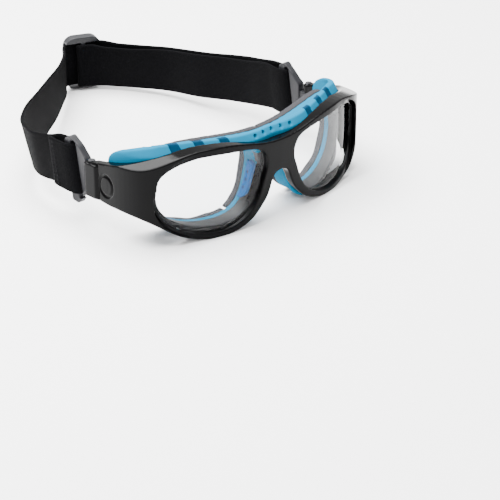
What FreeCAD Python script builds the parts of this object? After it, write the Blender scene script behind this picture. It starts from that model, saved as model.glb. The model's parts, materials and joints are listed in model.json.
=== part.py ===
"""Sports protective goggles: wrapped front, two lenses, foam-faced gasket and an elastic head strap.

Millimetres. Everything is drawn in the goggles' own frame: X across the face with +X at the wearer's
left, Y rearward from the front of the bridge, Z up from the middle of the lenses. Each finished piece
is then moved by `to_part_frame`, so that Z = 0 is the surface that the rims and the slider stand on,
and the origin is the middle of that footprint.
"""
import FreeCAD, Part
import math
import os
from FreeCAD import Vector, Matrix

# ---- Where the goggles stand ----
lens_height = 22.8              # middle of the lenses above the resting surface
front_setback = 103.1           # bridge front to the middle of the overall depth
floor_z = -lens_height

# ---- Front frame ----
wrap_square = 1.043e-3          # front surface: y = wrap_square x^2 + wrap_fourth x^4
wrap_fourth = 6.454e-7
wrap_limit = 50.0               # the surface follows the formula to this x, then the brow corner bulges
side_outer = [(58.0, 9.0), (65.0, 12.4), (70.6, 17.0), (73.8, 25.0), (74.9, 37.0), (75.0, 51.0)]
recess_start = 50.0
recess_rim = 2.4                # the bulge is cut back to the formula within this distance of a lens
back_setback = 3.2              # depth of the bridge
back_square = 4.99e-3           # rear surface: y = back_setback + back_square x^2 - back_fourth x^4
back_fourth = 0.86e-7
back_limit = 60.0
bridge_deep = 2.3               # the bridge is this much deeper at its middle
bridge_reach = 9.0              # and as deep as its neighbours about twice this far out
side_inner = [(66.4, 28.0), (69.6, 39.0), (70.4, 51.0)]
brow_line = [(0, 17.2), (8, 17.7), (24, 21.0), (40, 22.9), (56, 21.3), (69, 17.3), (90, 12)]
rim_line = [(0, 1.4), (3.4, 0.6), (7.3, -6.5), (11.5, -13.0), (18.5, -18.8), (28, -22.2), (38, -23.1),
            (48, -21.8), (56, -18.8), (63, -14.4), (70, -9.4), (90, -5)]
side_top = [(4, 30), (20, 19.6), (38, 14.2), (60, 9.8)]
side_bottom = [(6, -30), (13, -17.0), (22, -10.0), (36, -6.9), (60, -5.4)]
opening_half = [(65.0, 3.3), (60.5, -12.3), (45.3, -19.0), (34.8, -20.0), (23.6, -17.2), (15.8, -10.5),
                (10.9, 0.5), (9.0, 7.4), (11.4, 13.7), (19.7, 17.1), (29.5, 18.3), (40.7, 19.2),
                (56.2, 17.0), (63.8, 10.4)]
flange_line = [(9.9, 6.0), (11.2, 0.0), (13.2, -5.5), (17.2, -11.5)]
flange_thick = 2.0
flange_reach = 8.2
locator_rib = (2.2, 5.0, 1.2)   # rib beside the gasket's peg: sideways, rearward, upward
locator_at = (68.4, 38.2, 3.6)  # its inner front corner, and half the space between the two ribs
boss_at = (73.75, 43.0, 3.0)    # plain raised oval on the outside of each endpiece
boss_half = (1.2, 3.8, 5.2)     # its height, half depth and half height

# ---- Lenses ----
lens_lip = 1.6                  # frame lip in front of the lens
lens_thick = 2.2
lens_bite = 1.2                 # how far the lens edge sits in the rim's groove

# ---- Hinges ----
hinge_x = 72.7
hinge_y = 53.0
knuckle_radius = 2.6
knuckle_top = 10.9
knuckle_bottom = -5.9
web_width = 4.2                 # the web that joins the knuckle to the endpiece
web_depth = 3.5
cover_inner = 74.0              # the endpiece's outer skin runs on over the knuckle, from this x
cover_outer = 76.0
cover_front = 46.0
cover_rear = 55.8
tongue_top = 6.2
tongue_bottom = -1.2
hinge_gap = 0.3
pin_radius = 0.9
pin_head_radius = 1.7
pin_head_height = 0.8

# ---- Strap connectors ----
connector_x = 71.6              # middle of the loop's thickness
connector_thick = 4.4
connector_outline = [(57.0, 10.2), (68.6, 17.2), (72.2, 15.0), (67.6, -13.2), (64.0, -14.6), (57.0, -5.2)]
connector_corner = 1.6
slot_foot = (60.2, -11.4)       # lower front corner of the strap slot, y and z
slot_width = 3.0
slot_height = 26.6
slot_corner = 1.2
hollow_radius = 16.0            # the outer face is scooped a little, across its middle
hollow_depth = 0.9
hollow_y = 61.6
bar_lean = 4.9                  # the top of the slot lies this far behind its foot
neck_width = 3.2                # between the hinge's tongue and the loop
neck_length = 5.0

# ---- Strap ----
strap_width = 25.0
strap_thick = 1.4
strap_bottom_line = [(60, -10.4), (77, -10.7), (110, -14.8), (150, -19.0), (180, -20.3), (215, -20.3)]
strap_right_run = [(-71.2, 77.4), (-70.2, 90), (-66, 104), (-57.5, 127), (-48, 137), (-31, 150),
                   (-13, 163), (2, 175), (16, 187)]
strap_turn = [(-10.2, -3.2), (-8.4, -0.9)]     # where it turns into the slider, along and across it
slider_heading = math.radians(-22)
slider_centre = (38.5, 199.6)   # where the strap's middle passes the slider's middle, x and y
straight_after = 14.5
strap_left_run = [(56.6, 187.0), (61.5, 173.0), (65.0, 153), (69.2, 133), (72.4, 112), (73.4, 99),
                  (71.8, 77.4)]
inner_layer_line = [(44.4, 187.0), (51.4, 178.0), (57.0, 168.0), (61.6, 150.5), (66.0, 130), (69.4, 110),
                    (70.5, 98), (69.4, 77.4)]
loop_rear = 76.8                # where the sewn wrap round each connector's bar ends
loop_taper = 4.4                # its two layers come together over this length
loop_seam = 1.2                 # sewn solid over this length

# ---- Slider ----
slider_length = 21.0            # along the strap
slider_height = 31.6
slider_corner = 6.0
slider_top_rail = 3.6           # height of the rails above and below its window
slider_low_rail = 1.8
side_bar = 2.4                  # width of each side bar along the strap
side_bar_thick = 1.8
centre_bar = 2.6
centre_bar_thick = 1.3
strap_play = 0.3                # gap between the strap and the bars on each side
sewn_play = 0.2                 # gap between the centre bar and the strap's end folded round it
sewn_reach = 8.0                # how far the sewn end runs from the middle of the centre bar

# ---- Gasket and foam ----
gasket_gap = 0.35
gasket_back = 15.4              # rear surface: y = gasket_back + gasket_back_square x^2
gasket_back_square = 4.0e-3
gasket_top = [(0, 21.5), (14, 21.8), (28, 22.3), (40, 22.9), (51, 23.2), (60, 22.9), (66, 21.4), (69.4, 18.6)]
gasket_side = [(70.2, 8.0), (68.8, -3.0), (65.5, -10.5)]
body_top = [(0, 18.5), (14, 19.2), (28, 20.4), (40, 20.9), (51, 20.0), (60, 16.6), (65.6, 10.5)]
body_side = [(67.2, 4.0), (66.2, -4.0), (63.0, -10.6)]
body_low = [(56, -16.8), (47.6, -20.0), (38, -21.6), (28.2, -21.2), (20.0, -19.4), (13.4, -15.0), (9.4, -8.0),
            (7.6, -1.4), (5.4, 5.2), (0, 7.8)]
gasket_low = [(57, -17.6), (48, -20.9), (38, -22.4), (28, -22.0), (19.4, -20.2), (12.6, -15.6), (8.5, -8.4),
              (6.6, -1.6), (4.6, 4.4), (0, 6.6)]
eye_opening = [(60.6, 2.0), (56.8, -11.6), (45.5, -18.0), (34.8, -19.7), (24.6, -19.0), (17.2, -15.6),
               (13.2, -9.0), (11.2, -1.6), (10.0, 6.2), (12.6, 12.6), (20.5, 15.9), (29.5, 17.0),
               (40.5, 17.4), (53.0, 15.0), (59.4, 9.0)]
top_notches = (28.0, 40.0, 51.0)     # x of the shallow recesses in the lip's front
low_notches = [(31.0, -22.3), (43.0, -21.9), (52.0, -19.5)]   # x, and height of the lip's lower edge
top_notch_width = 4.6
low_notch_width = 2.0
notch_depth = 1.4
recess_depth = 0.9
vent_spacing = 5.75
vent_radius = 0.9
vent_length = 17.5
vent_height = 20.0
peg_gap = 18.0                  # height of the recess in the body's side that holds the peg
peg_side = 64.6                 # where that recess starts
peg_at = (63.0, 28.4)           # inner front corner of the peg's stem, x and y
peg_stem = (3.1, 2.4, 2.4)      # sideways, rearward, upward
peg_cross = (1.2, 2.4, 5.6)
foam_thick = 4.0
lip_thick = 2.8                 # the gasket's front lip, which stands out round its body
lean_start = 18.6               # above this height the lip leans rearward
lip_lean = 0.8                  # rearward for each millimetre of height
lip_end = [(0, 34), (20, 26), (29, 22.6), (36, 20.4), (41.4, 18.0), (44.2, 15.2), (45.0, 11.6), (44.4, 5.0),
           (43.0, -6.0)]
foam_cut = 1.2                  # gap between neighbouring foam pieces
foam_splits = {"brow": (22, 158), "nose": (158, 232), "cheek": (232, 382)}

# ---- Nose pads ----
pad_thick = 2.0
pad_back = 12.8
pad_clearance = 0.3             # between the gasket and the frame's flanges and pads
pad_outline = [(8.2, 3.6), (11.5, 5.6), (15.0, 2.6), (17.0, -3.4), (14.6, -9.6), (10.8, -11.4), (8.2, -9.4)]

above = 60.0                    # more than any height here
beyond = 400.0                  # more than any depth here


def mirrored(points):
    """The full list of points of a line that is drawn for x >= 0 and is the same on both sides."""
    other = [(-x, y) for x, y in reversed(points) if x > 0]
    return other + list(points)


def curve(points, closed=False):
    """A smooth spline through points given as vectors."""
    spline = Part.BSplineCurve()
    spline.interpolate(Points=points, PeriodicFlag=closed)
    return spline


def in_plan(points):
    return [Vector(x, y, -above) for x, y in points]


def in_front(points):
    return [Vector(x, -above, z) for x, z in points]


def in_side(points):
    return [Vector(0, y, z) for y, z in points]


def area_between(first, second):
    """The flat face between two open curves that are joined at their ends by straight lines."""
    edges = [first.toShape()]
    edges.append(Part.makeLine(first.EndPoint, second.EndPoint))
    edges.append(second.toShape())
    edges.append(Part.makeLine(second.StartPoint, first.StartPoint))
    return Part.Face(Part.Wire(Part.__sortEdges__(edges)))


def side_copy(shape):
    """The same piece on the other side of the face."""
    return shape.mirror(Vector(0, 0, 0), Vector(1, 0, 0))


def offset_curve(path, shift, count=24):
    """A curve beside a plan curve, to its left by shift."""
    points = []
    for step in range(count + 1):
        at = path.FirstParameter + (path.LastParameter - path.FirstParameter) * step / count
        along = path.tangent(at)[0]
        points.append(path.value(at) + Vector(-along.y, along.x, 0) * shift)
    return curve(points)


def ribbon(path, middle, thick, count=24):
    """Plan face of a strip that runs beside a curve."""
    return area_between(offset_curve(path, middle - thick / 2, count),
                        offset_curve(path, middle + thick / 2, count))


def wrap_front(x):
    return wrap_square * x ** 2 + wrap_fourth * x ** 4


def wrap_back(x):
    bridge = bridge_deep * math.exp(-(x / bridge_reach) ** 2)
    return back_setback + back_square * x ** 2 - back_fourth * x ** 4 + bridge


def frame_outer():
    stations = [wrap_limit * part / 5 for part in range(6)]
    front = [(x, wrap_front(x)) for x in stations]
    return curve(in_plan(mirrored(front + side_outer)))


def lens_front():
    """The surface that the lenses and the edges of their openings follow."""
    return curve(in_plan(mirrored([(x, wrap_front(x)) for x in range(0, 80, 10)])))


def frame_inner():
    stations = [back_limit * part / 12 for part in range(13)]
    back = [(x, wrap_back(x)) for x in stations]
    return curve(in_plan(mirrored(back + side_inner)))


def outline_prism(points, start=-above, depth=beyond):
    """A closed front-view outline carried rearward."""
    face = Part.Face(Part.Wire(curve(in_front(points), closed=True).toShape()))
    face.translate(Vector(0, start + above, 0))
    return face.extrude(Vector(0, depth, 0))


def lens_shell(front_gap, thick):
    """The layer of the wrapped front that starts front_gap behind its surface."""
    path = lens_front()
    face = area_between(offset_curve(path, front_gap, 40), offset_curve(path, front_gap + thick, 40))
    return face.extrude(Vector(0, 0, 2 * above))


def lens_recess():
    """The scoop round the outer end of a lens, where the frame bulges ahead of it."""
    ahead = area_between(lens_front(), curve(in_plan([(-90, -20), (0, -20), (90, -20)])))
    scoop = ahead.extrude(Vector(0, 0, 2 * above)).common(outline_prism(grown(opening_half, recess_rim), -5, 45))
    return scoop.common(Part.makeBox(60, 60, 80, Vector(recess_start, -10, -40)))


def grown(points, by):
    """A closed outline pushed outward from its middle by a distance."""
    middle_x = sum(x for x, z in points) / len(points)
    middle_z = sum(z for x, z in points) / len(points)
    result = []
    for x, z in points:
        reach = math.hypot(x - middle_x, z - middle_z)
        factor = (reach + by) / reach
        result.append((middle_x + (x - middle_x) * factor, middle_z + (z - middle_z) * factor))
    return result


def make_lens():
    return lens_shell(lens_lip, lens_thick).common(outline_prism(grown(opening_half, lens_bite), -5, 60))


def nasal_strip(start, end, thick, shift=0.0):
    """A strip that follows the side of the nose, from depth start to depth end."""
    path = curve([Vector(x, z, 0) for x, z in flange_line])
    face = ribbon(path, shift, thick, 8)
    face.rotate(Vector(0, 0, 0), Vector(1, 0, 0), 90)
    face.translate(Vector(0, end, 0))
    return face.extrude(Vector(0, start - end, 0))


def hinge_cylinder(radius, bottom, top):
    return Part.makeCylinder(radius, top - bottom, Vector(hinge_x, hinge_y, bottom))


def knuckle():
    """The rounded end of the frame that the hinge pin stands in."""
    body = hinge_cylinder(knuckle_radius, knuckle_bottom, knuckle_top)
    start = Vector(hinge_x - knuckle_radius + 0.2, hinge_y - web_depth + 0.1, knuckle_bottom)
    web = Part.makeBox(web_width, web_depth, knuckle_top - knuckle_bottom, start)
    return body.fuse(web)


def hinge_cover():
    """The skin that hides the hinge from outside, clear of the turning tongue."""
    height = knuckle_top - knuckle_bottom
    skin = Part.makeBox(cover_outer - cover_inner, cover_rear - cover_front, height,
                        Vector(cover_inner, cover_front, knuckle_bottom))
    skin = skin.makeFillet(cover_outer - cover_inner - 0.3, [edge for edge in skin.Edges
                           if edge.BoundBox.ZLength > 1 and edge.BoundBox.XMin > cover_outer - 0.1])
    return skin.cut(hinge_cylinder(knuckle_radius + hinge_gap, tongue_bottom - hinge_gap, tongue_top + hinge_gap))


def tongue_gap():
    """The gap that forks the knuckle into two ears, for the connector's tongue."""
    low, high = tongue_bottom - hinge_gap, tongue_top + hinge_gap
    start = Vector(66, hinge_y - knuckle_radius - hinge_gap, low)
    gap = Part.makeBox(hinge_x - 66, 12, high - low, start)
    return gap.fuse(hinge_cylinder(knuckle_radius + hinge_gap, low, high))


def locator_ribs():
    sideways, rearward, upward = locator_rib
    x, y, half_space = locator_at
    return [Part.makeBox(sideways, rearward, upward, Vector(x, y, z)) for z in (half_space, -half_space - upward)]


def side_boss():
    """A plain raised oval on the outside of the endpiece."""
    tall, half_deep, half_high = boss_half
    boss = Part.makeCylinder(1.0, tall, Vector(0, 0, 0), Vector(1, 0, 0))
    boss = boss.transformGeometry(Matrix(1, 0, 0, 0, 0, half_deep, 0, 0, 0, 0, half_high, 0, 0, 0, 0, 1))
    boss.translate(Vector(*boss_at))
    return boss


def make_front_frame():
    body = area_between(frame_outer(), frame_inner()).extrude(Vector(0, 0, 2 * above))
    front = area_between(curve(in_front(mirrored(brow_line))), curve(in_front(mirrored(rim_line))))
    body = body.common(front.extrude(Vector(0, beyond, 0)))
    side = area_between(curve(in_side(side_top)), curve(in_side(side_bottom)))
    side.translate(Vector(-100, 0, 0))
    flank = side.extrude(Vector(200, 0, 0))
    start = side_bottom[1][0]
    lead = Part.makeBox(200, start + 5, 80, Vector(-100, -5, -40))
    body = body.common(flank.fuse(lead))
    body = body.common(Part.makeBox(200, 100, 80, Vector(-100, -5, floor_z)))
    parts = [knuckle(), hinge_cover(), nasal_strip(2.6, flange_reach, flange_thick), side_boss()]
    parts += locator_ribs()
    body = body.fuse(parts + [side_copy(part) for part in parts])
    opening = outline_prism(opening_half, -5, 45)
    hole = hinge_cylinder(pin_radius + 0.02, -20, 30)
    cuts = [opening, make_lens(), lens_recess(), hole, tongue_gap()]
    return body.cut(cuts + [side_copy(cut) for cut in cuts]).removeSplitter()


def make_hinge_pin():
    shank = hinge_cylinder(pin_radius, knuckle_bottom + 0.4, knuckle_top + 0.01)
    head = hinge_cylinder(pin_head_radius, knuckle_top + 0.01, knuckle_top + pin_head_height)
    return shank.fuse(head).removeSplitter()


def rounded_polygon(points, radius):
    """A closed wire of straight sides whose corners are arcs of one radius."""
    edges = []
    ends = []
    count = len(points)
    for index in range(count):
        before, corner, after = points[index - 1], points[index], points[(index + 1) % count]
        back = (before - corner).normalize()
        ahead = (after - corner).normalize()
        half = back.getAngle(ahead) / 2
        reach = radius / math.tan(half)
        middle = corner + (back + ahead).normalize() * (radius / math.sin(half) - radius)
        edges.append(Part.Arc(corner + back * reach, middle, corner + ahead * reach).toShape())
        ends.append((corner + back * reach, corner + ahead * reach))
    for index in range(count):
        edges.append(Part.makeLine(ends[index - 1][1], ends[index][0]))
    return Part.Wire(Part.__sortEdges__(edges))


def slot_corners():
    """Corners of the strap slot, which leans rearward as the connector's bar does."""
    y, z = slot_foot
    top = z + slot_height
    lean = bar_lean
    return [Vector(0, y, z), Vector(0, y + slot_width, z), Vector(0, y + slot_width + lean, top),
            Vector(0, y + lean, top)]


def make_connector():
    """The triangular loop that carries one end of the strap."""
    outline = rounded_polygon([Vector(0, y, z) for y, z in connector_outline], connector_corner)
    plate = Part.Face(outline)
    plate.translate(Vector(connector_x - connector_thick / 2, 0, 0))
    body = plate.extrude(Vector(connector_thick, 0, 0))
    hollow_axis = connector_x + connector_thick / 2 + hollow_radius - hollow_depth
    body = body.cut(Part.makeCylinder(hollow_radius, 80, Vector(hollow_axis, hollow_y, -40)))
    slot = Part.Face(rounded_polygon(slot_corners(), slot_corner))
    slot.translate(Vector(50, 0, 0))
    body = body.cut(slot.extrude(Vector(50, 0, 0)))
    tongue = hinge_cylinder(knuckle_radius, tongue_bottom, tongue_top)
    start = Vector(hinge_x - neck_width + 0.8, hinge_y, tongue_bottom)
    neck = Part.makeBox(neck_width, neck_length, tongue_top - tongue_bottom, start)
    body = body.fuse([tongue, neck])
    return body.cut(hinge_cylinder(pin_radius + 0.07, -20, 30)).removeSplitter()


def loop_profile(inset):
    """Plan outline of the wrap, or of the hollow inset into it: wide round the bar, closed behind it."""
    half = connector_thick / 2 + strap_play + strap_thick - inset
    front = slot_foot[0] + slot_width / 2 - strap_thick / 2 + inset
    shoulder = loop_rear - loop_taper
    tail = max(strap_thick + strap_play / 2 - inset, 0.1)
    rear = loop_rear if inset == 0 else loop_rear - loop_seam
    return [Vector(connector_x + side, y, 0) for side, y in (
        (-half, front), (half, front), (half, shoulder), (tail, rear), (-tail, rear), (-half, shoulder))]


def make_strap_loop():
    """The end of the strap where it wraps the connector's bar and is sewn back on itself."""
    lean = Vector(0, bar_lean / slot_height, 1)
    outer = Part.Face(rounded_polygon(loop_profile(0), 0.6)).extrude(lean * above)
    inner = Part.Face(Part.makePolygon(loop_profile(strap_thick) + loop_profile(strap_thick)[:1]))
    body = outer.cut(inner.extrude(lean * above))
    body.translate(lean * -30 - Vector(0, bar_lean / slot_height * slot_foot[1], 0))
    band = Part.makeBox(200, 100, strap_width, Vector(-100, 40, strap_bottom_line[0][1]))
    rear = Part.makeBox(200, 100, 100, Vector(-100, loop_rear - 100, -50))
    return body.common(band).common(rear)


def strap_height_band():
    """Everything between the strap's lower and upper edges, which drop towards the back."""
    low = curve(in_side(strap_bottom_line))
    high = curve(in_side([(y, z + strap_width) for y, z in strap_bottom_line]))
    face = area_between(low, high)
    face.translate(Vector(-100, 0, 0))
    return face.extrude(Vector(200, 0, 0))


def slider_point(along, across=0.0):
    """A plan point given along the slider's travel and outward across it."""
    ahead = Vector(math.cos(slider_heading), math.sin(slider_heading), 0)
    outward = Vector(-ahead.y, ahead.x, 0)
    return Vector(slider_centre[0], slider_centre[1], -above) + ahead * along + outward * across


def strap_path():
    points = in_plan(strap_right_run)
    points += [slider_point(along, across) for along, across in strap_turn]
    points += [slider_point(straight_after * share) for share in (-0.39, 0, 0.25, 0.5, 0.75, 1)]
    return curve(points + in_plan(strap_left_run))


def make_strap_band():
    return ribbon(strap_path(), 0.0, strap_thick, 90).extrude(Vector(0, 0, 2 * above)).common(strap_height_band())


def make_strap_inner_layer():
    path = curve(in_plan(inner_layer_line))
    return ribbon(path, 0.0, strap_thick, 24).extrude(Vector(0, 0, 2 * above)).common(strap_height_band())


def slider_layers():
    """How far out across the slider its faces lie: outer face, strap side, bar's outer and inner face."""
    strap_side = strap_thick / 2 + strap_play
    bar_outer = -strap_side - strap_thick - sewn_play
    return strap_side + side_bar_thick, strap_side, bar_outer, bar_outer - centre_bar_thick


def slider_prism(corners, low, high):
    """A solid drawn in the slider's own directions: plan corners along and across it, then its height."""
    plan = [slider_point(along, across) for along, across in corners]
    face = Part.Face(Part.makePolygon(plan + plan[:1]))
    face.translate(Vector(0, 0, above + low))
    return face.extrude(Vector(0, 0, high - low))


def across_block(start, end, inner, outer, low, high):
    return slider_prism([(start, inner), (end, inner), (end, outer), (start, outer)], low, high)


def make_slider():
    """Three-bar slider: the side bars pass outside the strap and the centre bar inside it."""
    outer_face, strap_side, bar_outer, bar_inner = slider_layers()
    half = slider_length / 2
    low, high = floor_z, floor_z + slider_height
    corners = [Vector(-half, 0, low), Vector(half, 0, low), Vector(half, 0, high), Vector(-half, 0, high)]
    plate = Part.Face(rounded_polygon(corners, slider_corner)).extrude(Vector(0, outer_face - bar_inner, 0))
    plate.translate(Vector(0, bar_inner, 0))
    plate.rotate(Vector(0, 0, 0), Vector(0, 0, 1), math.degrees(slider_heading))
    plate.translate(Vector(slider_centre[0], slider_centre[1], 0))
    window_low, window_high = low + slider_low_rail, high - slider_top_rail
    window = across_block(-half + side_bar, half - side_bar, -20, 20, window_low, window_high)
    tunnel = across_block(-20, 20, -20, strap_side, window_low, window_high)
    rung = across_block(-centre_bar / 2, centre_bar / 2, bar_inner, bar_outer, window_low, window_high)
    return plate.cut([window, tunnel]).fuse(rung).removeSplitter()


def make_sewn_end():
    """The strap's end, folded round the slider's centre bar and sewn to itself."""
    outer_face, strap_side, bar_outer, bar_inner = slider_layers()
    low = strap_bottom_line[-1][1]
    high = low + strap_width
    inner, outer = bar_inner - sewn_play - strap_thick, bar_outer + sewn_play + strap_thick
    start = -centre_bar / 2 - sewn_play - strap_thick
    fold = across_block(start, sewn_reach, inner, outer, low, high)
    hollow = across_block(start + strap_thick, centre_bar / 2 + sewn_play, bar_inner - sewn_play,
                          bar_outer + sewn_play, low, high)
    return fold.cut(hollow)


def gasket_shell(front_gap, back_gap, thick=None):
    """The space behind the frame, from front_gap behind it to the gasket's rear surface."""
    back = [(x, gasket_back + back_gap + gasket_back_square * x ** 2) for x in (0, 20, 40, 60, 80)]
    rear = curve(in_plan(mirrored(back)))
    if thick is None:
        front = offset_curve(frame_inner(), front_gap, 60)
        space = area_between(front, curve(in_plan([(-70, 300), (0, 300), (70, 300)])))
        ahead = area_between(rear, curve(in_plan([(-80, -20), (0, -20), (80, -20)])))
        return space.extrude(Vector(0, 0, 2 * above)).common(ahead.extrude(Vector(0, 0, 2 * above)))
    behind = curve(in_plan(mirrored([(x, y + thick) for x, y in back])))
    return area_between(rear, behind).extrude(Vector(0, 0, 2 * above))


def gasket_prism(half):
    """A front-view outline, given from the brow round to the nose for x >= 0, carried rearward on both sides."""
    return outline_prism(half + [(-x, z) for x, z in reversed(half[1:-1])], -above, beyond)


def make_peg():
    """The T-shaped peg at the gasket's side, behind the recess in its body."""
    x, y = peg_at
    stem = Part.makeBox(*peg_stem, Vector(x, y, -peg_stem[2] / 2))
    cross = Part.makeBox(*peg_cross, Vector(x + peg_stem[0] - peg_cross[0], y, -peg_cross[2] / 2))
    return stem.fuse(cross)


def lip_layer(thick):
    """A layer of that thickness behind the frame, upright at first and leaning rearward above lean_start."""
    plan = ribbon(frame_inner(), gasket_gap + thick / 2, thick, 60)
    upright = plan.extrude(Vector(0, 0, above + lean_start))
    plan.translate(Vector(0, 0, above + lean_start))
    rise = above - lean_start
    return upright.fuse(plan.extrude(Vector(0, lip_lean * rise, rise)))


def make_gasket():
    lip = lip_layer(lip_thick).common(gasket_prism(gasket_top + gasket_side + gasket_low))
    profile = area_between(curve(in_side(lip_end)), curve(in_side([(-5, 32), (-5, 0), (-5, -30)])))
    profile.translate(Vector(-100, 0, 0))
    lip = lip.common(profile.extrude(Vector(200, 0, 0)))
    body = gasket_shell(gasket_gap + lip_thick / 2, 0.0).common(gasket_prism(body_top + body_side + body_low))
    body = body.fuse(lip)
    cuts = [outline_prism(eye_opening, -5, 100)]
    cuts.append(Part.makeBox(10, 100, peg_gap, Vector(peg_side, 0, -peg_gap / 2)))
    cuts.append(nasal_strip(-5, pad_back + pad_clearance, pad_thick + 2 * pad_clearance))
    for x in top_notches:
        slab = Part.makeBox(top_notch_width, 100, above, Vector(x - top_notch_width / 2, -5, 0))
        cuts.append(lip_layer(recess_depth).common(slab))
    for x, edge in low_notches:
        low = edge + notch_depth - 10
        cuts.append(Part.makeBox(low_notch_width, 100, 10, Vector(x - low_notch_width / 2, -5, low)))
    cuts += [side_copy(cut) for cut in cuts]
    for index in range(-2, 3):
        start = Vector(index * vent_spacing, -5, vent_height)
        cuts.append(Part.makeCylinder(vent_radius, vent_length, start, Vector(0, 1, 0)))
    return body.cut(cuts).fuse([make_peg(), side_copy(make_peg())]).removeSplitter()


def sector(start, end):
    """A tall wedge seen from the front, between two angles about the middle of the eye."""
    middle = Vector(35, -5, 0)
    points = [middle]
    for angle in (start, (start * 2 + end) / 3, (start + end * 2) / 3, end):
        turn = math.radians(angle)
        points.append(middle + Vector(math.cos(turn), 0, math.sin(turn)) * 120)
    return Part.Face(Part.makePolygon(points + [middle])).extrude(Vector(0, 100, 0))


def make_foam(start, end):
    """One foam piece on the rear of the gasket, for the eye at x > 0."""
    layer = gasket_shell(0, 0.02, foam_thick).common(gasket_prism(body_top + body_side + body_low))
    layer = layer.common(gasket_shell(gasket_gap + lip_thick + 0.3, foam_thick + 1))
    layer = layer.cut(outline_prism(grown(eye_opening, 0.3), -5, 100))
    trim = math.degrees(foam_cut / 2 / 25)
    return layer.common(sector(start + trim, end - trim)).common(Part.makeBox(80, 100, 100, Vector(3.2, 0, -50)))


def make_nose_pad():
    strip = nasal_strip(flange_reach, pad_back, pad_thick)
    face = Part.Face(Part.Wire(curve(in_side(pad_outline), closed=True).toShape()))
    return strip.common(face.extrude(Vector(60, 0, 0)))


def to_part_frame(shape):
    shape.translate(Vector(0, -front_setback, lens_height))
    return shape


def both_sides(name, shape):
    """The wearer's left piece and its mirror image on the right."""
    return {name + "_left": shape, name + "_right": side_copy(shape)}


def build():
    nodes = {"front_frame": make_front_frame()}
    nodes.update(both_sides("lens", make_lens()))
    nodes.update(both_sides("nose_pad", make_nose_pad()))
    nodes.update(both_sides("hinge_pin", make_hinge_pin()))
    nodes.update(both_sides("strap_connector", make_connector()))
    nodes.update(both_sides("strap_loop", make_strap_loop()))
    nodes["strap_band"] = make_strap_band()
    nodes["strap_inner_layer"] = make_strap_inner_layer()
    nodes["strap_slider"] = make_slider()
    nodes["strap_sewn_end"] = make_sewn_end()
    nodes["gasket_frame"] = make_gasket()
    for name, (start, end) in foam_splits.items():
        nodes.update(both_sides("foam_" + name, make_foam(start, end)))
    return nodes


os.makedirs("parts", exist_ok=True)
for node, shape in build().items():
    placed = to_part_frame(shape)
    placed.exportStep("parts/" + node + ".step")
    box = placed.BoundBox
    print("%-20s %2d solid  %9.1f mm3  valid %s  x %7.2f %7.2f  y %7.2f %7.2f  z %6.2f %6.2f" % (
        node, len(placed.Solids), placed.Volume, placed.isValid(), box.XMin, box.XMax, box.YMin, box.YMax,
        box.ZMin, box.ZMax))
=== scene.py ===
"""Looks of the sports protective goggles: moulded front and gasket, foam, woven strap, studio light.

Places are in the goggles' own frame in millimetres, as part.py draws them: X across the face with +X at
the wearer's left, Y rearward from the front of the bridge, Z up from the middle of the lenses.
`place` turns them into the row frame in metres.
"""
import bpy
import bmesh
import json
import math
import numpy as np
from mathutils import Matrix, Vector


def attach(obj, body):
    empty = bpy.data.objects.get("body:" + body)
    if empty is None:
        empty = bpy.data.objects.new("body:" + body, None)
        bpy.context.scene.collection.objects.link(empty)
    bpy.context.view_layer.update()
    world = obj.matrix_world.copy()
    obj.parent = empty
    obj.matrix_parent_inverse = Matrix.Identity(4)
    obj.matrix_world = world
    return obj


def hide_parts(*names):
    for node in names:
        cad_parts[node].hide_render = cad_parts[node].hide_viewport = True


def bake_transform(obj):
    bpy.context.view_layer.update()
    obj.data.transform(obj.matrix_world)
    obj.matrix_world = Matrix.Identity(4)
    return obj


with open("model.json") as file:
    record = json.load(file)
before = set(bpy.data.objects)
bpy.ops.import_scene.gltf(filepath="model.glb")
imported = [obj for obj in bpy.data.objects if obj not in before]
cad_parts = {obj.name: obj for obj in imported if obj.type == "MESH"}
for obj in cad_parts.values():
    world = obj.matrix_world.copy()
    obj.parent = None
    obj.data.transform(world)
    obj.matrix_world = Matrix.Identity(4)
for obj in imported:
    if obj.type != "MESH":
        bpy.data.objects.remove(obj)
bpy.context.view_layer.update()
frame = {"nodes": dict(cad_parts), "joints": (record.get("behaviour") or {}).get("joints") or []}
joints = {joint["name"]: joint for joint in frame["joints"]}

# Where the left hinge stands in the goggles' own frame, which ties that frame to the row frame.
left_hinge = (72.7, 53.0, 2.5)
origin = Vector(joints["connector_left_hinge"]["pos_m"]) - Vector(left_hinge) * 0.001

# Front: an oval and an upright line are pressed into each endpiece's outer side.
endpiece_side = 73.2
endpiece_front = 30.0
oval_middle = (40.5, 2.6)
oval_reach = (4.7, 5.2)
oval_depth = 0.7
oval_width = 0.55
line_place = 46.6
line_depth = 0.6
line_width = 0.45

# Half of the outline round a lens opening, as (across, up) on the wearer's left.
lens_opening = [(65.0, 3.3), (60.5, -12.3), (45.3, -19.0), (34.8, -20.0), (23.6, -17.2), (15.8, -10.5),
                (10.9, 0.5), (9.0, 7.4), (11.4, 13.7), (19.7, 17.1), (29.5, 18.3), (40.7, 19.2),
                (56.2, 17.0), (63.8, 10.4)]

# Gasket: its rear face bends back as gasket_back + gasket_back_square * x * x.
gasket_back = 15.4
gasket_back_square = 4.0e-3
blue_rim = 2.8
dark_top = 12.0
# Recesses across the gasket's brow lip, which get a darker blue as painted shade: places across, half width,
# lowest height, and how far in front of the rear face they stop.
recess_places = (28.0, 40.0, 51.0)
recess_half = 2.3
recess_low = 19.0
recess_behind = 4.0

# Nose pad's dimples, painted dark as their shade: heights of the column, its place along y, and the radius
# of each.
dimple_heights = (0.4, -3.2, -6.8)
dimple_back = 11.0
dimple_radius = 0.75

# Connector and slider, where they differ from their CAD solids.
loop_rise = 2.2
slider_rail_top = -20.8
slider_rail_share = 0.45

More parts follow.
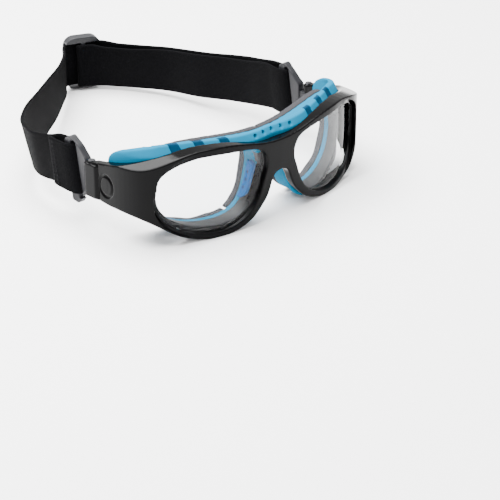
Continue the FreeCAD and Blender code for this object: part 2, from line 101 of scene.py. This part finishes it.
# Webbing, and the slider's place and heading on it.
strap_width = 25.0
strap_thick = 1.4
strap_low = -20.3
strap_step = 0.7
slider_middle = (38.5, 199.6)
slider_heading = math.radians(-22)
stitch_rows = (1.4, 4.2)
stitch_spacing = 2.1
stitch_half = 0.75
stitch_radius = 0.26


def place(x, y, z):
    """A place in the goggles' frame, as a vector in the row frame."""
    return origin + Vector((x, y, z)) * 0.001


def in_goggles(points):
    """Row frame in metres to the goggles' frame in millimetres."""
    return (points - np.array(origin)) * 1000


def in_row(points):
    """Goggles' frame in millimetres to the row frame in metres."""
    return points * 0.001 + np.array(origin)


# ---------------------------------------------------------------- meshes

def new_piece(name, mesh, body=None, material=None, stands_for=()):
    """A smooth-shaded object that rides on a body and takes the place of the CAD nodes it stands for."""
    piece = bpy.data.objects.new(name, mesh)
    bpy.context.scene.collection.objects.link(piece)
    if material:
        mesh.materials.clear()
        mesh.materials.append(material)
    for polygon in mesh.polygons:
        polygon.use_smooth = True
    if body:
        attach(piece, body)
    if stands_for:
        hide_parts(*stands_for)
    return piece


def coordinates(mesh):
    """The mesh's points, one in each row."""
    flat = np.empty(len(mesh.vertices) * 3)
    mesh.vertices.foreach_get("co", flat)
    return flat.reshape(-1, 3)


def set_coordinates(mesh, points):
    mesh.vertices.foreach_set("co", points.ravel())
    mesh.update()


def face_vectors(mesh, label):
    """One vector for each face: its "center" or its "normal"."""
    flat = np.empty(len(mesh.polygons) * 3)
    mesh.polygons.foreach_get(label, flat)
    return flat.reshape(-1, 3)


def set_slots(mesh, slots):
    """Gives each face its material slot."""
    mesh.polygons.foreach_set("material_index", slots.astype(np.int32))


def relaxed(points, edges, rounds, share):
    """Each point moves a share of the way to the middle of its neighbours, again and again."""
    count = np.bincount(edges.ravel(), minlength=len(points)).reshape(-1, 1)
    count = np.maximum(count, 1)
    for step in range(rounds):
        total = np.zeros_like(points)
        for axis in range(3):
            total[:, axis] = (np.bincount(edges[:, 0], points[edges[:, 1], axis], len(points))
                              + np.bincount(edges[:, 1], points[edges[:, 0], axis], len(points)))
        points = points + (total / count - points) * share
    return points


def edge_pairs(mesh):
    flat = np.empty(len(mesh.edges) * 2, np.int64)
    mesh.edges.foreach_get("vertices", flat)
    return flat.reshape(-1, 2)


def moulded(node, voxel, rounds, share=0.5, shape=None):
    """A copy of a CAD solid with its corners rounded, as moulding leaves them. Sizes in millimetres."""
    source = bpy.data.objects.new("moulded_" + node, frame["nodes"][node].data.copy())
    bpy.context.scene.collection.objects.link(source)
    remesh = source.modifiers.new("skin", "REMESH")
    remesh.mode = "VOXEL"
    remesh.voxel_size = voxel * 0.001
    shown = source.evaluated_get(bpy.context.evaluated_depsgraph_get())
    mesh = bpy.data.meshes.new_from_object(shown)
    bpy.data.objects.remove(source)
    points = in_goggles(coordinates(mesh))
    if shape:
        points = shape(points)
    points = relaxed(points, edge_pairs(mesh), rounds, share)
    set_coordinates(mesh, in_row(points))
    return mesh


# ---------------------------------------------------------------- materials

def shader(name, color, roughness, **values):
    """A material of one Principled surface. Sockets are named with _ for a space."""
    material = bpy.data.materials.new(name)
    material.use_nodes = True
    tree = material.node_tree
    surface = tree.nodes["Principled BSDF"]
    surface.inputs["Base Color"].default_value = (*color, 1)
    surface.inputs["Roughness"].default_value = roughness
    for socket, value in values.items():
        surface.inputs[socket.replace("_", " ")].default_value = value
    return material, tree, surface


def add(tree, kind, **values):
    """A new shader node, with values for its sockets or its own settings."""
    node = tree.nodes.new(kind)
    for key, value in values.items():
        if key in node.inputs:
            node.inputs[key].default_value = value
        else:
            setattr(node, key, value)
    return node


def noise(tree, scale, detail=3.0):
    """Cloudy value fixed to the object. A larger scale gives finer clouds."""
    where = add(tree, "ShaderNodeTexCoord")
    cloud = add(tree, "ShaderNodeTexNoise", Scale=scale, Detail=detail, Roughness=0.55)
    tree.links.new(where.outputs["Object"], cloud.inputs["Vector"])
    return cloud.outputs["Fac"]


def ramp(tree, value, low, high, start=0.3, end=0.7):
    """Maps a value from start..end to low..high."""
    scaled = add(tree, "ShaderNodeMapRange")
    scaled.inputs["From Min"].default_value = start
    scaled.inputs["From Max"].default_value = end
    scaled.inputs["To Min"].default_value = low
    scaled.inputs["To Max"].default_value = high
    tree.links.new(value, scaled.inputs["Value"])
    return scaled.outputs["Result"]


def mixed_color(tree, value, first, second):
    """The first colour where the value is 0, and the second where it is 1."""
    mix = add(tree, "ShaderNodeMix", data_type="RGBA")
    colors = [socket for socket in mix.inputs if socket.type == "RGBA"]
    colors[0].default_value = (*first, 1)
    colors[1].default_value = (*second, 1)
    tree.links.new(value, mix.inputs["Factor"])
    return [socket for socket in mix.outputs if socket.type == "RGBA"][0]


def bump(tree, surface, height, distance, strength=1.0):
    """Fine relief on a surface. distance is its height in metres."""
    node = add(tree, "ShaderNodeBump", Strength=strength, Distance=distance)
    tree.links.new(height, node.inputs["Height"])
    tree.links.new(node.outputs["Normal"], surface.inputs["Normal"])


def plastic(name, color, worn, roughness, gloss=0.5, grain=0.0):
    """Moulded plastic: slight colour and gloss variation, and a faint surface grain."""
    material, tree, surface = shader(name, color, roughness, Specular_IOR_Level=gloss)
    patches = noise(tree, 45.0, 4.0)
    tree.links.new(mixed_color(tree, ramp(tree, patches, 0, 1), color, worn), surface.inputs["Base Color"])
    fine = noise(tree, 900.0, 2.0)
    tree.links.new(ramp(tree, fine, roughness * 0.85, roughness * 1.2), surface.inputs["Roughness"])
    if grain:
        bump(tree, surface, noise(tree, 3500.0, 2.0), grain)
    return material


def foam_material():
    """Dark closed-cell foam with small pores, painted darker in each pore as its shade."""
    color, light = (0.014, 0.014, 0.016), (0.040, 0.040, 0.044)
    material, tree, surface = shader("foam_cells", color, 0.95, Specular_IOR_Level=0.1)
    where = add(tree, "ShaderNodeTexCoord")
    cells = add(tree, "ShaderNodeTexVoronoi", Scale=2600.0)
    tree.links.new(where.outputs["Object"], cells.inputs["Vector"])
    pores = cells.outputs["Distance"]
    # Darker at each pore's middle and lighter between pores: painted shade of the pores.
    tone = mixed_color(tree, ramp(tree, pores, 0, 1, 0.1, 0.6), color, light)
    tree.links.new(tone, surface.inputs["Base Color"])
    bump(tree, surface, pores, 0.0003, 0.7)
    return material


def lens_material():
    """Clear sheet: it lets light straight through and mirrors some at its surface."""
    material = bpy.data.materials.new("lens_clear_coat")
    material.use_nodes = True
    tree = material.node_tree
    tree.nodes.clear()
    output = add(tree, "ShaderNodeOutputMaterial")
    clear = add(tree, "ShaderNodeBsdfTransparent")
    clear.inputs["Color"].default_value = (0.965, 0.975, 0.98, 1)
    mirror = add(tree, "ShaderNodeBsdfGlossy")
    mirror.inputs["Color"].default_value = (1, 1, 1, 1)
    smudge = noise(tree, 60.0, 3.0)
    tree.links.new(ramp(tree, smudge, 0.02, 0.06), mirror.inputs["Roughness"])
    slant = add(tree, "ShaderNodeLayerWeight", Blend=0.5)
    steep = add(tree, "ShaderNodeMath", operation="POWER")
    steep.inputs[1].default_value = 4.0
    tree.links.new(slant.outputs["Facing"], steep.inputs[0])
    mix = add(tree, "ShaderNodeMixShader")
    tree.links.new(ramp(tree, steep.outputs[0], 0.008, 0.3, 0.0, 1.0), mix.inputs["Fac"])
    tree.links.new(clear.outputs["BSDF"], mix.inputs[1])
    tree.links.new(mirror.outputs["BSDF"], mix.inputs[2])
    tree.links.new(mix.outputs["Shader"], output.inputs["Surface"])
    return material


def steel_material():
    """Blackened steel, brushed a little."""
    material, tree, surface = shader("pin_blackened", (0.06, 0.06, 0.065), 0.3, Metallic=1.0)
    tree.links.new(ramp(tree, noise(tree, 1500.0, 3.0), 0.22, 0.42), surface.inputs["Roughness"])
    return material


def webbing_material(name, color, light):
    """Woven elastic: fine ribs along its length, crossed by the weft. Periods in millimetres."""
    rib_period = 0.72
    weft_period = 0.9
    weft_shift = 1.6
    material, tree, surface = shader(name, color, 0.85, Sheen_Weight=0.005, Sheen_Roughness=0.5,
                                     Specular_IOR_Level=0.03)
    across = add(tree, "ShaderNodeAttribute", attribute_name="across_mm")
    along = add(tree, "ShaderNodeAttribute", attribute_name="along_mm")

    def wave(source, period, shift=None):
        """A sine of the given period, shifted by another value."""
        turn = add(tree, "ShaderNodeMath", operation="MULTIPLY")
        turn.inputs[1].default_value = 2 * math.pi / period
        tree.links.new(source, turn.inputs[0])
        value = turn.outputs[0]
        if shift is not None:
            total = add(tree, "ShaderNodeMath", operation="ADD")
            tree.links.new(value, total.inputs[0])
            tree.links.new(shift, total.inputs[1])
            value = total.outputs[0]
        sine = add(tree, "ShaderNodeMath", operation="SINE")
        tree.links.new(value, sine.inputs[0])
        return sine.outputs[0]

    warp = wave(across.outputs["Fac"], rib_period)
    step = add(tree, "ShaderNodeMath", operation="MULTIPLY")
    step.inputs[1].default_value = weft_shift
    tree.links.new(warp, step.inputs[0])
    weft = wave(along.outputs["Fac"], weft_period, step.outputs[0])
    cloth = add(tree, "ShaderNodeMath", operation="ADD")
    tree.links.new(warp, cloth.inputs[0])
    tree.links.new(weft, cloth.inputs[1])
    fuzz = noise(tree, 2500.0, 2.0)
    height = add(tree, "ShaderNodeMath", operation="ADD")
    tree.links.new(cloth.outputs[0], height.inputs[0])
    tree.links.new(fuzz, height.inputs[1])
    # Colour follows the weave's height: darker in its dips as painted shade and lighter on its ribs as
    # painted highlight, with random fuzz mixed in.
    tone = ramp(tree, height.outputs[0], 0, 1, -1.0, 3.0)
    tree.links.new(mixed_color(tree, tone, color, light), surface.inputs["Base Color"])
    bump(tree, surface, height.outputs[0], 0.00006, 0.8)
    return material


black = plastic("frame_gloss", (0.0008, 0.0008, 0.0009), (0.0014, 0.0014, 0.0016), 0.13, 0.05)
liner = plastic("gasket_liner", (0.010, 0.010, 0.011), (0.016, 0.016, 0.017), 0.55, 0.2)
grey = plastic("connector_satin", (0.010, 0.010, 0.012), (0.014, 0.014, 0.016), 0.36, 0.2, 0.00002)
blue = plastic("gasket_rubber", (0.0, 0.120, 0.215), (0.0, 0.130, 0.235), 0.6, 0.02, 0.00002)
# Darker blue laid on the gasket's brow recesses and the nose pads' dimples: painted shade of those hollows.
painted_shade = plastic("recess_painted_shade", (0.0, 0.024, 0.055), (0.0, 0.028, 0.062), 0.6, 0.05, 0.00002)
azure = plastic("pad_rubber", (0.0, 0.070, 0.24), (0.0, 0.080, 0.26), 0.6, 0.03, 0.00002)
# The strap's two colours: the weave's dips in painted shade and its ribs in painted highlight.
webbing = webbing_material("strap_weave", (0.0006, 0.0006, 0.0008), (0.0028, 0.0028, 0.0034))
thread = plastic("strap_thread", (0.004, 0.004, 0.005), (0.009, 0.009, 0.011), 0.7, 0.1)
foam = foam_material()
glass = lens_material()
steel = steel_material()


# ---------------------------------------------------------------- rigid pieces

def groove(points, distance, depth, width, outward):
    """Presses the points near a drawn line inward. distance is each point's distance from that line."""
    points += outward * (-depth * np.exp(-(distance / width) ** 2)).reshape(-1, 1)
    return points


def front_frame():
    """The moulded front, with an oval and an upright line pressed into each endpiece."""
    mesh = moulded("front_frame", 0.36, 5)
    points = in_goggles(coordinates(mesh))
    x, y, z = points.T
    on_side = (np.abs(x) > endpiece_side) & (y > endpiece_front)
    outward = np.stack([np.sign(x) * on_side, 0 * x, 0 * x], axis=1)
    share = np.hypot((y - oval_middle[0]) / oval_reach[0], (z - oval_middle[1]) / oval_reach[1])
    from_oval = np.abs(share - 1) * 4.9
    from_line = np.abs(y - line_place - (z - 11.6) * 0.04)
    points = groove(points, from_oval, oval_depth, oval_width, outward)
    points = groove(points, from_line, line_depth, line_width, outward)
    set_coordinates(mesh, in_row(points))
    return new_piece("front_shell", mesh, "front", black, ["front_frame"])


def inside(outline, x, z):
    """Which of the points x, z lie inside a closed outline."""
    result = np.zeros(len(x), bool)
    for (x0, z0), (x1, z1) in zip(outline, outline[1:] + outline[:1]):
        crosses = (z0 > z) != (z1 > z)
        at = x0 + (z - z0) / (z1 - z0 if z1 != z0 else 1e-9) * (x1 - x0)
        result ^= crosses & (x < at)
    return result


def gasket():
    """The blue gasket. Its wall round each eye is dark up to a thin rim at the rear.

    The dark part ends a little outside the lens opening, and leaves out the blue wall beside the nose.
    """
    mesh = moulded("gasket_frame", 0.42, 4)
    piece = new_piece("gasket_shell", mesh, "gasket", blue, ["gasket_frame"])
    mesh.materials.append(liner)
    mesh.materials.append(painted_shade)
    x, y, z = in_goggles(face_vectors(mesh, "center")).T
    rear = gasket_back + gasket_back_square * x ** 2
    around_eye = [(40.0 + (across - 40.0) * 1.15, (up + 3.0) * 1.25 - 3.0) for across, up in lens_opening]
    dark = inside(around_eye, np.abs(x), z) & (y < rear - blue_rim) & (z < dark_top)
    dark &= ~((np.abs(x) < 15.5) & (y > 8.0) & (z > -10.0))
    # Faces in the brow recesses get the darker blue: painted shade.
    recess_shade_faces = np.zeros(len(x), bool)
    for middle in recess_places:
        recess_shade_faces |= (np.abs(np.abs(x) - middle) < recess_half) & (z > recess_low) & (y < rear - recess_behind)
    set_slots(mesh, np.where(dark, 1, np.where(recess_shade_faces, 2, 0)))
    return piece


def taller(points):
    """The loop's top rises a little above its CAD solid, as the webbing needs."""
    rise = np.clip((points[:, 2] - 2.0) / 12.0, 0, 1)
    behind = np.clip((points[:, 1] - 56.0) / 6.0, 0, 1)
    points[:, 2] += loop_rise * rise * behind
    return points


def connector(side):
    """Triangular strap connector."""
    mesh = moulded("strap_connector_" + side, 0.3, 5, shape=taller)
    return new_piece("connector_shell_" + side, mesh, "connector_" + side, grey, ["strap_connector_" + side])


def low_rail(points):
    """The lower rail is thinner than its CAD solid, as its lower edge is chamfered off."""
    z = points[:, 2]
    thinned = slider_rail_top + (z - slider_rail_top) * slider_rail_share
    points[:, 2] = np.where(z < slider_rail_top, thinned, z)
    return points


def slider():
    """Three-bar slider."""
    mesh = moulded("strap_slider", 0.3, 6, shape=low_rail)
    return new_piece("slider_shell", mesh, "slider", grey, ["strap_slider"])


def scalloped(points):
    """The die-cut foam's inner edge goes in and out a little round each eye."""
    x, z = np.abs(points[:, 0]) - 35.0, points[:, 2]
    reach = np.hypot(x, z)
    turn = np.arctan2(z, x)
    wave = 0.35 * np.cos(9 * turn + 0.5)
    points[:, 0] += np.sign(points[:, 0]) * x / reach * wave
    points[:, 2] += z / reach * wave
    return points


def to_the_middle(points):
    """Stretches a brow foam's inner end to the middle of the bridge."""
    x = points[:, 0]
    near_end = np.clip(1 - (np.abs(x) - 3.2) / 8.0, 0, 1)
    points[:, 0] = x - np.sign(x) * 3.0 * near_end
    return points


def foam_piece(name):
    """One of the foam pieces stuck on the gasket."""
    mesh = moulded(name, 0.4, 8, shape=to_the_middle if "brow" in name else scalloped)
    piece = new_piece(name + "_soft", mesh, "gasket", foam, [name])
    return piece


def nose_pad(side):
    """Soft pad with a column of three round dimples, on its side towards the eye, painted a darker blue as
    their shade.
    """
    mesh = moulded("nose_pad_" + side, 0.22, 6)
    piece = new_piece("nose_pad_soft_" + side, mesh, "front", azure, ["nose_pad_" + side])
    mesh.materials.append(painted_shade)
    x, y, z = in_goggles(face_vectors(mesh, "center")).T
    outward = face_vectors(mesh, "normal")[:, 0] * np.sign(x) > 0.3
    # The dimples' outward faces get the darker blue: painted shade.
    dimple_shade_faces = np.zeros(len(x), bool)
    for height in dimple_heights:
        dimple_shade_faces |= np.hypot(y - dimple_back, z - height) < dimple_radius
    set_slots(mesh, dimple_shade_faces & outward)
    return piece


# ---------------------------------------------------------------- strap

def smooth_line(stations, spacing):
    """Points at an even spacing on a smooth curve through the stations (a centripetal Catmull-Rom curve)."""
    points = np.array(stations, float)
    padded = np.vstack([2 * points[0] - points[1], points, 2 * points[-1] - points[-2]])
    dense = []
    for index in range(len(points) - 1):
        p0, p1, p2, p3 = padded[index:index + 4]
        t0 = 0.0
        t1 = t0 + max(np.linalg.norm(p1 - p0), 1e-6) ** 0.5
        t2 = t1 + max(np.linalg.norm(p2 - p1), 1e-6) ** 0.5
        t3 = t2 + max(np.linalg.norm(p3 - p2), 1e-6) ** 0.5
        for step in range(24):
            t = t1 + (t2 - t1) * step / 24
            a1 = (t1 - t) / (t1 - t0) * p0 + (t - t0) / (t1 - t0) * p1
            a2 = (t2 - t) / (t2 - t1) * p1 + (t - t1) / (t2 - t1) * p2
            a3 = (t3 - t) / (t3 - t2) * p2 + (t - t2) / (t3 - t2) * p3
            b1 = (t2 - t) / (t2 - t0) * a1 + (t - t0) / (t2 - t0) * a2
            b2 = (t3 - t) / (t3 - t1) * a2 + (t - t1) / (t3 - t1) * a3
            dense.append((t2 - t) / (t2 - t1) * b1 + (t - t1) / (t2 - t1) * b2)
    dense.append(points[-1])
    dense = np.array(dense)
    reach = np.concatenate([[0], np.cumsum(np.linalg.norm(np.diff(dense, axis=0), axis=1))])
    count = max(2, int(round(reach[-1] / spacing)) + 1)
    at = np.linspace(0, reach[-1], count)
    return np.stack([np.interp(at, reach, dense[:, axis]) for axis in range(3)], axis=1)


def band_profile():
    """Closed outline of the webbing's section: place across the width, and share of the half thickness."""
    rows = []
    half = strap_width / 2
    for place_across in np.linspace(-half, half, 51):
        from_edge = half - abs(place_across)
        bound = 1.0 + 0.16 * math.exp(-((from_edge - 1.1) / 0.8) ** 2)
        rim = min(1.0, from_edge / 0.5)
        rows.append((place_across, bound * math.sqrt(max(0.0, 1 - (1 - rim) ** 2)) * 0.97 + 0.03))
    return rows


def strap_run(stations, spacing):
    """The strap's middle line, and the directions up its width and out of its face, at even steps."""
    line = np.array(stations, float)
    centre = (line[:, :3] + line[:, 3:]) / 2
    middle = smooth_line(centre, spacing)
    reach = np.concatenate([[0], np.cumsum(np.linalg.norm(np.diff(centre, axis=0), axis=1))])
    share = np.linspace(0, 1, len(middle))
    lean = line[:, 3:] - line[:, :3]
    lean = lean / np.linalg.norm(lean, axis=1).reshape(-1, 1)
    up = np.stack([np.interp(share, reach / reach[-1], lean[:, axis]) for axis in range(3)], axis=1)
    up = relaxed(up, np.array([(i, i + 1) for i in range(len(up) - 1)]), int(6 / spacing), 0.5)
    up = up / np.linalg.norm(up, axis=1).reshape(-1, 1)
    ahead = np.gradient(middle, axis=0)
    ahead = ahead / np.linalg.norm(ahead, axis=1).reshape(-1, 1)
    out = np.cross(ahead, up)
    out = out / np.linalg.norm(out, axis=1).reshape(-1, 1)
    return middle, up, out


def webbing_mesh(name, stations):
    """A strip of webbing. Each station gives its lower and its upper edge: x, y, z, x, y, z."""
    ripple = 0.12
    middle, up, out = strap_run(stations, strap_step)
    profile = band_profile()
    ring = [(v, t) for v, t in profile] + [(v, -t) for v, t in reversed(profile[1:-1])]
    along = np.arange(len(middle)) * strap_step
    points, across_mm, along_mm = [], [], []
    for v, t in ring:
        wave = ripple * np.sin(along / 9.0 + v / 7.0) * np.sin(along / 23.0 + 1.0)
        offset = (t * strap_thick / 2 + wave).reshape(-1, 1)
        points.append(middle + up * v + out * offset)
        across_mm.append(np.full(len(middle), v))
        along_mm.append(along)
    count, size = len(ring), len(middle)
    points = np.stack(points, axis=1).reshape(-1, 3)
    faces = []
    for i in range(size - 1):
        for j in range(count):
            k = (j + 1) % count
            faces.append((i * count + j, i * count + k, (i + 1) * count + k, (i + 1) * count + j))
    faces.append(tuple(reversed(range(count))))
    faces.append(tuple((size - 1) * count + j for j in range(count)))
    mesh = bpy.data.meshes.new(name)
    mesh.from_pydata(in_row(points).tolist(), [], faces)
    for label, values in (("across_mm", across_mm), ("along_mm", along_mm)):
        attribute = mesh.attributes.new(label, "FLOAT", "POINT")
        attribute.data.foreach_set("value", np.stack(values, axis=1).ravel().astype(np.float32))
    fix = bmesh.new()
    fix.from_mesh(mesh)
    bmesh.ops.recalc_face_normals(fix, faces=fix.faces)
    fix.to_mesh(mesh)
    fix.free()
    return mesh


def stitch_mesh(name, stations):
    """Rows of short stitches across the strap's outer face, each a bead of thread along the row."""
    middle, up, out = strap_run(stations, strap_step)
    points, faces = [], []
    for row in stitch_rows:
        at = int(round(row / strap_step))
        ahead = np.cross(up[at], out[at])
        for across in np.arange(-10.5, 10.6, stitch_spacing):
            centre = middle[at] + up[at] * across + out[at] * (strap_thick / 2 + 0.08)
            first = len(points)
            for ring in range(5):
                lengthwise = -stitch_half + stitch_half / 2 * ring
                radius = stitch_radius * math.sqrt(max(0.02, 1 - (lengthwise / 0.78) ** 2))
                for step in range(8):
                    turn = math.pi * step / 4
                    points.append(centre + up[at] * lengthwise
                                  + (ahead * math.cos(turn) + out[at] * math.sin(turn)) * radius)
            for ring in range(4):
                for step in range(8):
                    a, b = first + ring * 8 + step, first + ring * 8 + (step + 1) % 8
                    faces.append((a, b, b + 8, a + 8))
            faces.append(tuple(first + step for step in reversed(range(8))))
            faces.append(tuple(first + 32 + step for step in range(8)))
    mesh = bpy.data.meshes.new(name)
    mesh.from_pydata(in_row(np.array(points)).tolist(), [], faces)
    return mesh


def in_slider(along, across, z):
    """A place given along the slider's travel and outward across it."""
    x = slider_middle[0] + math.cos(slider_heading) * along - math.sin(slider_heading) * across
    y = slider_middle[1] + math.sin(slider_heading) * along + math.cos(slider_heading) * across
    return (x, y, z)


def flat_length(stations):
    """Length of the strap's middle line in metres."""
    line = np.array(stations, float)
    middle = smooth_line((line[:, :3] + line[:, 3:]) / 2, 1.0)
    return (len(middle) - 1) * 0.001


def upright(along, across):
    """A station where the webbing stands upright in or near the slider."""
    return in_slider(along, across, strap_low) + in_slider(along, across, strap_low + strap_width)


def round_the_bar(side):
    """The strap's way round a connector's bar, from outside it through the slot to inside it."""
    stations = [(75.0, 76.0), (75.3, 70.5), (75.2, 65.6), (74.2, 62.6), (71.6, 61.3), (69.0, 62.6),
                (68.2, 65.6), (68.5, 70.5), (69.6, 76.0)]
    return [(side * x, y, -8.8, side * x, y + 4.6, 16.0) for x, y in stations]


# The near length: sewn end, round the right connector's bar, back along the head and into the slider.
near_run = [
    (-74.2, 80.0, -8.8, -74.6, 82.0, 16.0)] + round_the_bar(-1) + [
    (-70.8, 80.6, -9.6, -71.9, 84.0, 15.2), (-70.2, 86.6, -10.6, -73.0, 89.4, 14.2),
    (-69.4, 97.3, -11.8, -73.2, 98.6, 13.0),
    (-66.6, 105.2, -12.4, -70.0, 108.0, 12.4), (-61.6, 113.4, -13.4, -65.6, 117.2, 11.4),
    (-53.0, 123.4, -14.8, -57.0, 127.6, 9.9), (-42.6, 133.6, -16.4, -45.8, 138.6, 8.8),
    (-27.6, 148.2, -17.8, -30.2, 150.4, 7.2), (-10.2, 162.8, -18.7, -11.6, 164.4, 6.4),
    (8.0, 180.0, -19.8, 6.6, 178.6, 5.3), (19.5, 191.4, -20.2, 19.0, 190.6, 4.8),
    upright(-10.6, -2.2), upright(-6.0, -0.2), upright(-2.5, 0.0)]
# The far length: out of the slider, round the left connector's bar, back inside itself to the slider
# again, and folded round the slider's centre bar.
far_run = [
    upright(-2.5, 0.0), upright(4.0, 0.0), upright(11.0, -0.2), (55.6, 187.6, -20.4, 53.0, 184.6, 4.4),
    (61.4, 173.6, -20.0, 60.0, 171.2, 5.0), (66.6, 157.6, -19.0, 65.8, 157.6, 6.0),
    (71.6, 130.0, -16.4, 72.0, 128.8, 8.6), (74.6, 112.0, -14.0, 74.8, 112.0, 11.0),
    (75.2, 100.0, -12.2, 75.6, 100.9, 12.8), (74.6, 88.0, -10.4, 74.8, 90.0, 14.6)] + round_the_bar(1) + [
    (70.6, 88.0, -10.6, 70.6, 90.0, 14.2),
    (71.6, 97.0, -12.4, 71.2, 97.0, 12.4), (70.8, 112.0, -14.6, 70.6, 112.0, 10.2),
    (66.4, 131.5, -16.9, 67.0, 132.0, 7.9), (63.2, 156.0, -19.0, 62.6, 154.8, 5.6),
    (54.0, 176.5, -20.4, 51.8, 173.0, 4.2), (45.4, 189.4, -20.6, 43.4, 186.2, 4.2),
    upright(5.0, -6.0), upright(2.0, -5.2), upright(-1.8, -5.0), upright(-3.2, -4.3), upright(-3.1, -2.9),
    upright(-1.6, -2.1), upright(2.0, -1.95), upright(7.5, -1.9)]


def strap_pieces():
    """The strap is one length of webbing. It is split out of sight, inside the slider."""
    near = new_piece("strap_right_length", webbing_mesh("strap_right_length", near_run), None, webbing,
                     ["strap_band", "strap_loop_right"])
    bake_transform(near)
    stitches = stitch_mesh("strap_stitches", near_run)
    new_piece("strap_stitches", stitches, "connector_right", thread)
    far = new_piece("strap_left_length", webbing_mesh("strap_left_length", far_run), None, webbing,
                    ["strap_inner_layer", "strap_sewn_end", "strap_loop_left"])
    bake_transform(far)
    for piece, stations in ((near, near_run), (far, far_run)):
        flat_length(stations)


# ---------------------------------------------------------------- build

front_frame()
gasket()
slider()
strap_pieces()
for side in ("left", "right"):
    connector(side)
    nose_pad(side)
    for part in ("brow", "nose", "cheek"):
        foam_piece("foam_" + part + "_" + side)

for name, material in (("lens_left", glass), ("lens_right", glass), ("hinge_pin_left", steel),
                       ("hinge_pin_right", steel)):
    node = frame["nodes"][name]
    node.data.materials.clear()
    node.data.materials.append(material)


# ---------------------------------------------------------------- studio

def floor():
    """Plain pale floor at z = 0."""
    mesh = bpy.data.meshes.new("floor")
    size = 6.0
    corners = [(-size, -size, 0), (size, -size, 0), (size, size, 0), (-size, size, 0)]
    mesh.from_pydata(corners, [], [(0, 1, 2, 3)])
    material, tree, surface = shader("floor_paper", (0.9, 0.9, 0.9), 0.7)
    tree.links.new(ramp(tree, noise(tree, 3.0), 0.66, 0.74), surface.inputs["Roughness"])
    ground = new_piece("floor", mesh, None, material)


def softbox(name, where, target, size, power):
    """A rectangular lamp that faces a target. Metres and watts."""
    light = bpy.data.lights.new(name, "AREA")
    light.shape = "RECTANGLE"
    light.size, light.size_y = size
    light.energy = power
    lamp = bpy.data.objects.new(name, light)
    bpy.context.scene.collection.objects.link(lamp)
    lamp.location = where
    lamp.rotation_euler = (Vector(target) - Vector(where)).to_track_quat("-Z", "Y").to_euler()


def camera():
    """The view from the front and above, on the wearer's right."""
    lens = bpy.data.cameras.new("camera")
    lens.sensor_width = 36.0
    lens.lens = 122.46
    lens.shift_x = 0.0092
    lens.shift_y = -0.186
    lens.clip_start = 0.01
    viewer = bpy.data.objects.new("camera", lens)
    bpy.context.scene.collection.objects.link(viewer)
    viewer.location = place(-526.0, -522.6, 330.4)
    viewer.rotation_euler = (math.radians(90 - 23.52), 0, math.radians(-43.85))
    bpy.context.scene.camera = viewer


def studio():
    """White surroundings and two soft lamps."""
    world = bpy.data.worlds.new("studio")
    world.use_nodes = True
    background = world.node_tree.nodes["Background"]
    background.inputs["Color"].default_value = (1, 1, 1, 1)
    background.inputs["Strength"].default_value = 1.3
    bpy.context.scene.world = world
    softbox("overhead", (-0.1, 0.25, 0.9), (0, 0, 0), (1.2, 1.0), 75.0)
    softbox("front_fill", (-0.9, -0.7, 0.6), (0, 0, 0.02), (0.7, 0.5), 5.0)


floor()
studio()
camera()
